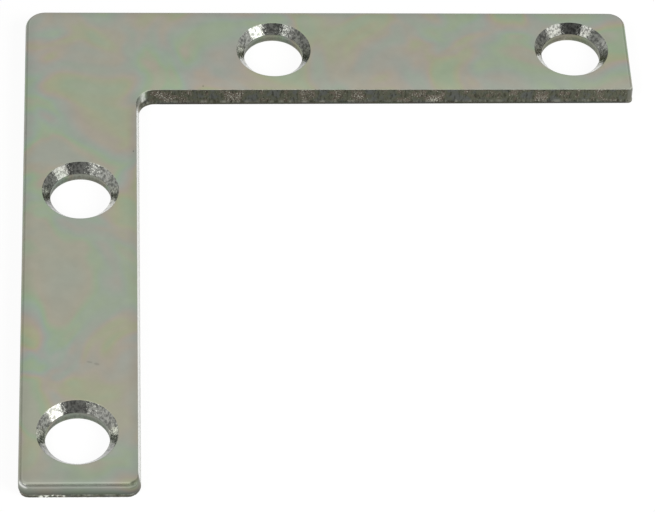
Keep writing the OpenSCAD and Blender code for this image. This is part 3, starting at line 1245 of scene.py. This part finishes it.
def sheared_material(finish):
    """The sheared walls: smooth and with a painted highlight where the punch burnished them, dark and broken
    where they tore.
    """
    material, tree, shader, where = new_material("zinc_sheared")
    tear = stored(tree, "tear")
    along = stored(tree, "along")
    parts = add_node(tree, "ShaderNodeSeparateXYZ", "height")
    tree.links.new(where, parts.inputs[0])
    sheet = combine(tree, "unrolled wall", along, parts.outputs[2], 0.0)
    torn, broken, specks = torn_colour(tree, along, parts.outputs[2], sheet, finish)
    # Darker towards the crotch and lighter towards the Y leg's end
    tear_tone_to_end = map_range(tree, "lighter to the end", parts.outputs[1], INNER_EDGE, PLATE_HIGH[1], *TEAR_TONES)
    torn = toned(tree, "lighter tear", torn, tear_tone_to_end)
    # The smooth wall, with its painted shade
    smooth = dulled(tree, film_colour(tree, where, finish))
    edge = maths(tree, "ADD", "ragged edge", tear, maths(tree, "SUBTRACT", "rag", broken, 0.5))
    edge = map_range(tree, "torn share", edge, 0.12, 0.5, 0.0, 1.0)
    base = mix_colours(tree, "sheared zinc", "MIX", edge, smooth, torn)
    # Painted highlight along the ledge of the torn wall
    ledge_line = combine(tree, "ledge line", along, 0.0, 0.0)
    line = patchy(tree, "broken line", ledge_line, 700.0, (0.45, 0.6, 0.0, 0.5), detail=3.0, roughness=0.7)
    line = maths(tree, "MULTIPLY", "ledge line share", line, stored(tree, "ledge"))
    base = painted(tree, "lit ledge", line, base, finish.torn_highlight)
    # Painted glints of chips at the foot
    chip_glints = patchy(tree, "foot chips", sheet, 1700.0, (0.49, 0.54, 0.0, 1.0), detail=2.0, roughness=0.6)
    chip_glints = maths(tree, "MULTIPLY", "chips at the foot", chip_glints, stored(tree, "chip"))
    base = painted(tree, "chipped foot", chip_glints, base, finish.burr)
    # Painted highlight where the wall is burnished, less where it is torn
    rag = maths(tree, "MULTIPLY", "unburnished", edge, 0.7)
    burnish_highlight_share = maths(tree, "SUBTRACT", "burnished share", stored(tree, "bright"), rag, clamp=True)
    base = painted(tree, "burnished zinc", burnish_highlight_share, base, finish.burnished_highlight_colour)
    tree.links.new(base, shader.inputs["Base Color"])
    smoother = finish.edge_roughness - 0.1
    rough = map_range(tree, "roughness", edge, 0.0, 1.0, smoother, finish.edge_roughness)
    shine = maths(tree, "MULTIPLY", "shine", burnish_highlight_share, WALL_GLOSS)
    rough = maths(tree, "SUBTRACT", "smoother if burnished", rough, shine)
    tree.links.new(rough, shader.inputs["Roughness"])
    height = maths(tree, "MULTIPLY", "torn height", maths(tree, "ADD", "relief", broken, specks), edge)
    tree.links.new(bump(tree, "torn grain", height, TORN_GRAIN), shader.inputs["Normal"])
    return material


def bright_material(finish):
    """The cut countersinks, nearly mirrors, with the small pits that the plating leaves."""
    material, tree, shader, where = new_material("zinc_bright")
    film = film_colour(tree, where, finish)
    base = mix_colours(tree, "bright zinc", "MIX", 0.2, (*finish.cut, 1.0), film)
    stains = patchy(tree, "stains", where, 2300.0, (0.42, 0.6, 1.0, 0.42), detail=2.5, roughness=0.6)
    base = toned(tree, "stained zinc", base, stains)
    # Painted shade on one side of each countersink
    tree.links.new(dulled(tree, base), shader.inputs["Base Color"])
    low = finish.cone_roughness
    rough = patchy(tree, "roughness", where, 2500.0, (0.35, 0.7, low, low + CONE_SCATTER), detail=2.0)
    pits = patchy(tree, "pits", where, 3300.0, (0.5, 0.66, 0.0, 1.0), detail=2.0, roughness=0.6)
    pitted = maths(tree, "MULTIPLY", "pit roughness", pits, PIT_ROUGHNESS)
    rough = maths(tree, "ADD", "rougher pits", rough, pitted)
    tree.links.new(rough, shader.inputs["Roughness"])
    tree.links.new(bump(tree, "pitted cone", pits, PIT_DEPTH), shader.inputs["Normal"])
    return material


# ------------------------------------------------------------
# Operators
# ------------------------------------------------------------


def new_object(name, mesh, scene):
    """A mesh object at the origin in the scene."""
    piece = bpy.data.objects.new(name, mesh)
    scene.collection.objects.link(piece)
    return piece


def made_mesh(piece, name, context):
    """The evaluated piece as a plain mesh."""
    context.view_layer.update()
    ready = piece.evaluated_get(context.evaluated_depsgraph_get())
    mesh = bpy.data.meshes.new_from_object(ready)
    mesh.name = name
    return mesh


TEAR_SEED = 11.0
WELD_REACH = 0.002 * MM


class BRACE_OT_make_plate(bpy.types.Operator):
    """Makes the stamped plate with its torn and rolled edges and its four countersunk holes"""

    bl_idname = "brace.make_plate"
    bl_label = "Make the plate"

    def execute(self, context):
        sizes = context.scene.brace_plate
        finish = context.scene.brace_finish
        materials = [face_material(finish), sheared_material(finish), bright_material(finish)]
        plate = new_object("corner_plate", plate_mesh(sizes), context.scene)
        wall = new_object("hole_wall", hole_mesh(sizes), context.scene)
        holes = hole_places(sizes)
        spots = bpy.data.meshes.new("hole_places")
        spots.from_pydata([(centre.x, centre.y, 0.0) for centre, _ in holes], [], [])
        store(spots, "wider", "FLOAT", "POINT", [wider for _, wider in holes])
        places = new_object("hole_places", spots, context.scene)
        use_tree(
            plate,
            holes_tree(materials),
            {
                "Hole wall": wall,
                "Hole places": places,
                "Turn": HOLE_TURN,
                "Weld distance": WELD_REACH,
            },
        )
        use_tree(
            plate,
            tear_tree(),
            {
                "Tear depth": sizes.tear_depth,
                "Streak width": sizes.streak_width,
                "Streak height": sizes.streak_height,
                "Wander": sizes.wander,
                "Nick depth": sizes.nick_depth,
                "Seed": TEAR_SEED,
            },
        )
        mesh = made_mesh(plate, "corner_plate", context)
        plate.modifiers.clear()
        plate.data = mesh
        for helper in (wall, places):
            bpy.data.objects.remove(helper)
        if len(mesh.polygons) == 0:
            raise RuntimeError("the plate came out empty")
        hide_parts("brace")
        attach(plate, "root")
        return {"FINISHED"}


SENSOR_WIDTH = 36.0
FLOOR_REACH = 3.0
FLOOR_DROP = 0.02 * MM
FLOOR_GLOW = 1.03
# The two soft lamps: azimuth and elevation in degrees, width and height in metres
LAMPS = (("right_lamp", 59.0, 32.0, 0.43, 0.42), ("left_lamp", -49.0, 44.0, 0.32, 0.25))
LAMP_DISTANCE = 0.7
LAMP_AIM = (0.03, 0.03, 0.0)
LAMP_COLOUR = (1.0, 1.0, 0.985)
# Tones of the surround: from which height, or how far forward, to which, and the tone at the two
SKY_LOW = (0.05, 0.7, 0.55, 1.0)
SKY_OVERHEAD = (0.75, 1.0, 0.0, 0.35)
SKY_FRONT = (0.0, 0.6, 1.0, 0.68)
# The dark room behind the camera: its middle, and where it starts and is full, in degrees
ROOM_AZIMUTH = 4.0
ROOM_ELEVATION = 36.0
ROOM_REACH = (32.0, 25.0)
ROOM_TONE = 0.36


def direction(azimuth, elevation):
    """The unit vector that points that way from the brace."""
    flat = math.cos(elevation)
    return Vector((math.cos(azimuth) * flat, math.sin(azimuth) * flat, math.sin(elevation)))


def camera_matrix(stage):
    """Place and turn of the camera."""
    back = direction(stage.view_azimuth, stage.view_elevation)
    level = Vector((0.0, 0.0, 1.0)).cross(back).normalized()
    upright = back.cross(level)
    right = level * math.cos(stage.view_roll) + upright * math.sin(stage.view_roll)
    turn = Matrix((right, back.cross(right), back)).transposed()
    return Matrix.Translation(Vector(stage.aim) + back * stage.view_distance) @ turn.to_4x4()


def soft_lamp(scene, name, way, width, height, light):
    """A rectangular lamp that faces the brace. Its light is the brightness of its face."""
    lamp = bpy.data.lights.new(name, "AREA")
    lamp.shape = "RECTANGLE"
    lamp.size = width
    lamp.size_y = height
    lamp.energy = light * math.pi * width * height
    lamp.color = LAMP_COLOUR
    holder = bpy.data.objects.new(name, lamp)
    scene.collection.objects.link(holder)
    holder.location = Vector(LAMP_AIM) + way * LAMP_DISTANCE
    holder.rotation_euler = way.to_track_quat("Z", "Y").to_euler()
    holder.visible_camera = False
    return holder


def soft_box(scene, stage, name, azimuth, elevation, width, height):
    """A lamp in two parts: what the metal mirrors, and the rest, which lights the plain floor."""
    way = direction(math.radians(azimuth), math.radians(elevation))
    soft_lamp(scene, name, way, width, height, stage.lamp_glow)
    rest = soft_lamp(scene, name + "_fill", way, width, height, stage.lamp_light - stage.lamp_glow)
    rest.visible_glossy = False


def seen_white(tree):
    """1 for the rays that show the background: camera, glossy and transmission. Returns it with
    the node that tells the rays apart."""
    path = add_node(tree, "ShaderNodeLightPath", "which ray")
    rays = path.outputs
    seen = maths(tree, "MAXIMUM", "camera or glossy", rays["Is Camera Ray"], rays["Is Glossy Ray"])
    return maths(tree, "MAXIMUM", "or through glass", seen, rays["Is Transmission Ray"]), path


def floor_material(stage):
    """A pale floor, lifted to white where the background shows, that keeps a soft shadow."""
    material = bpy.data.materials.new("floor_white")
    material.use_nodes = True
    tree = material.node_tree
    tree.nodes.clear()
    where = add_node(tree, "ShaderNodeTexCoord", "place").outputs["Object"]
    grain = patchy(tree, "paper grain", where, 300.0, (0.3, 0.7, 0.985, 1.0))
    paper = add_node(tree, "ShaderNodeBsdfDiffuse", "paper")
    tree.links.new(toned(tree, "paper colour", (*stage.floor, 1.0), grain), paper.inputs["Color"])
    white = add_node(tree, "ShaderNodeEmission", "white")
    white.inputs["Strength"].default_value = FLOOR_GLOW
    seen, _ = seen_white(tree)
    share = maths(tree, "MULTIPLY", "lifted share", seen, stage.floor_white)
    both = add_node(tree, "ShaderNodeMixShader", "floor")
    tree.links.new(share, both.inputs[0])
    tree.links.new(paper.outputs[0], both.inputs[1])
    tree.links.new(white.outputs[0], both.inputs[2])
    out = add_node(tree, "ShaderNodeOutputMaterial", "out")
    tree.links.new(both.outputs[0], out.inputs["Surface"])
    return material


def white_world(stage):
    """White all round to the eye. In the metal it is white overhead, dimmer low down, and dark
    about where the camera stands."""
    world = bpy.data.worlds.new("white_surround")
    world.use_nodes = True
    tree = world.node_tree
    tree.nodes.clear()
    way = add_node(tree, "ShaderNodeTexCoord", "way out").outputs["Generated"]
    parts = add_node(tree, "ShaderNodeSeparateXYZ", "height")
    tree.links.new(way, parts.inputs[0])
    low = map_range(tree, "low to middle", parts.outputs[2], *SKY_LOW, smooth=True)
    high = map_range(tree, "overhead", parts.outputs[2], *SKY_OVERHEAD, smooth=True)
    sky = maths(tree, "ADD", "surround", low, high)
    nearer = map_range(tree, "dimmer in front", parts.outputs[0], *SKY_FRONT, smooth=True)
    sky = maths(tree, "MULTIPLY", "surround in front", sky, nearer)
    room = add_node(tree, "ShaderNodeVectorMath", "towards the room", operation="DOT_PRODUCT")
    tree.links.new(way, room.inputs[0])
    room.inputs[1].default_value = direction(math.radians(ROOM_AZIMUTH), math.radians(ROOM_ELEVATION))
    start, full = (math.cos(math.radians(reach)) for reach in ROOM_REACH)
    dark = map_range(tree, "dark room", room.outputs["Value"], start, full, 1.0, ROOM_TONE, smooth=True)
    sky = maths(tree, "MULTIPLY", "surround and room", sky, dark)
    sky = maths(tree, "MULTIPLY", "surround light", sky, stage.surround)
    seen, path = seen_white(tree)
    camera = path.outputs["Is Camera Ray"]
    mirrored = add_node(tree, "ShaderNodeMix", "fill or surround", data_type="FLOAT")
    tree.links.new(seen, mirrored.inputs[0])
    mirrored.inputs[2].default_value = stage.fill
    tree.links.new(sky, mirrored.inputs[3])
    shown = add_node(tree, "ShaderNodeMix", "plain white to the eye", data_type="FLOAT")
    tree.links.new(camera, shown.inputs[0])
    tree.links.new(mirrored.outputs[0], shown.inputs[2])
    shown.inputs[3].default_value = 1.0
    back = add_node(tree, "ShaderNodeBackground", "background")
    tree.links.new(shown.outputs[0], back.inputs["Strength"])
    out = add_node(tree, "ShaderNodeOutputWorld", "out")
    tree.links.new(back.outputs[0], out.inputs["Surface"])
    return world


class BRACE_OT_make_stage(bpy.types.Operator):
    """Makes the pale floor, the white surround, the two soft lamps and the camera"""

    bl_idname = "brace.make_stage"
    bl_label = "Make the stage"

    def execute(self, context):
        scene = context.scene
        stage = scene.brace_stage
        corners = [(-1, -1), (1, -1), (1, 1), (-1, 1)]
        mesh = bpy.data.meshes.new("floor")
        places = [(x * FLOOR_REACH, y * FLOOR_REACH, -FLOOR_DROP) for x, y in corners]
        mesh.from_pydata(places, [], [(0, 1, 2, 3)])
        mesh.materials.append(floor_material(stage))
        floor = new_object("floor", mesh, scene)
        scene.world = white_world(stage)
        for lamp in LAMPS:
            soft_box(scene, stage, *lamp)
        lens = bpy.data.cameras.new("camera")
        lens.sensor_fit = "HORIZONTAL"
        lens.sensor_width = SENSOR_WIDTH
        lens.lens = stage.lens
        lens.clip_start = 0.01
        lens.clip_end = 20.0
        camera = bpy.data.objects.new("camera", lens)
        scene.collection.objects.link(camera)
        camera.matrix_world = camera_matrix(stage)
        scene.camera = camera
        scene.view_settings.view_transform = "Standard"
        return {"FINISHED"}


class BRACE_PT_panel(bpy.types.Panel):
    """Sidebar panel of the brace."""

    bl_label = "Flat corner brace"
    bl_idname = "BRACE_PT_panel"
    bl_space_type = "VIEW_3D"
    bl_region_type = "UI"
    bl_category = "Brace"

    def draw(self, context):
        layout = self.layout
        layout.operator(BRACE_OT_make_plate.bl_idname)
        layout.operator(BRACE_OT_make_stage.bl_idname)


CLASSES = (
    BracePlateSettings,
    BraceFinishSettings,
    BraceStageSettings,
    BRACE_OT_make_plate,
    BRACE_OT_make_stage,
    BRACE_PT_panel,
)


def register():
    """Registers the classes and hangs the settings on the scene."""
    for item in CLASSES:
        bpy.utils.register_class(item)
    bpy.types.Scene.brace_plate = bpy.props.PointerProperty(type=BracePlateSettings)
    bpy.types.Scene.brace_finish = bpy.props.PointerProperty(type=BraceFinishSettings)
    bpy.types.Scene.brace_stage = bpy.props.PointerProperty(type=BraceStageSettings)


def unregister():
    """Takes the settings and the classes away again."""
    del bpy.types.Scene.brace_stage
    del bpy.types.Scene.brace_finish
    del bpy.types.Scene.brace_plate
    for item in reversed(CLASSES):
        bpy.utils.unregister_class(item)


def main():
    """Makes the whole scene."""
    register()
    bpy.ops.brace.make_plate()
    bpy.ops.brace.make_stage()


if __name__ == "__main__":
    main()
